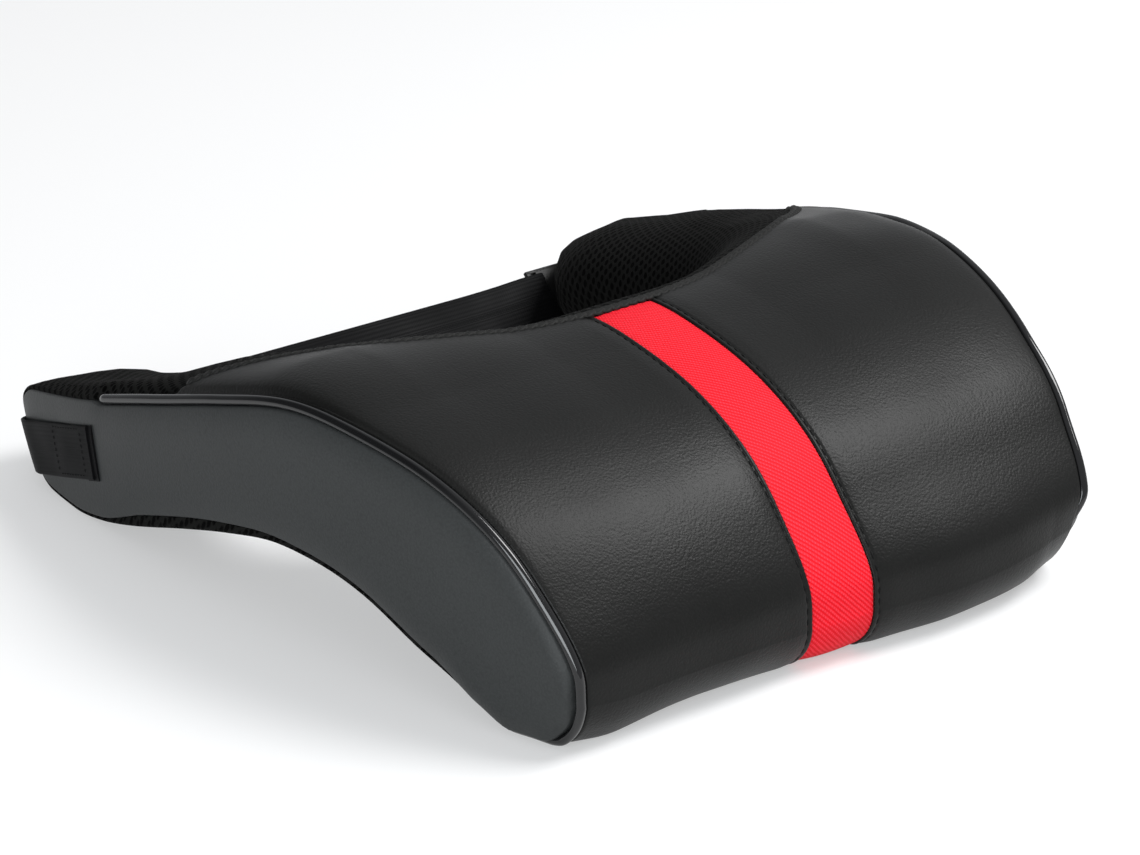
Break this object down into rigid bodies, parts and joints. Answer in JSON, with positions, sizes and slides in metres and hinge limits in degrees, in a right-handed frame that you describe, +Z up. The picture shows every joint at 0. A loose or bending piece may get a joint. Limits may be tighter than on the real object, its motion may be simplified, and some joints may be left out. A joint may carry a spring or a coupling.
{
  "type": "travel neck pillow",
  "caption": "U-shaped foam neck pillow for a car seat, with leather front and sides, an air-mesh neck side, a red woven centre stripe and an elastic strap.",
  "frame": {"origin": "on the ground, below the middle of the pillow's bounding box", "axes": "+Z up; +Y from the thick closed end towards the arm tips; +X across the pillow, towards the arm with the strap's slider"},
  "size_m": [0.3038, 0.326, 0.1009],
  "materials": {
    "front_leather": "satin",
    "side_leather": "satin",
    "woven_stripe": "satin",
    "mesh_fabric": "matte",
    "piping": "gloss",
    "foam": "matte",
    "webbing": "matte",
    "slider_plastic": "satin"
  },
  "bodies": {
    "root": {"foam_core": "foam", "front_panel_left": "front_leather", "front_panel_right": "front_leather", "centre_stripe": "woven_stripe", "mesh_panel": "mesh_fabric", "side_panel_left": "side_leather", "side_panel_right": "side_leather", "piping_left": "piping", "piping_right": "piping", "strap_elastic": "webbing", "strap_anchor": "webbing", "strap_slider": "slider_plastic"}
  },
  "joints": []
}
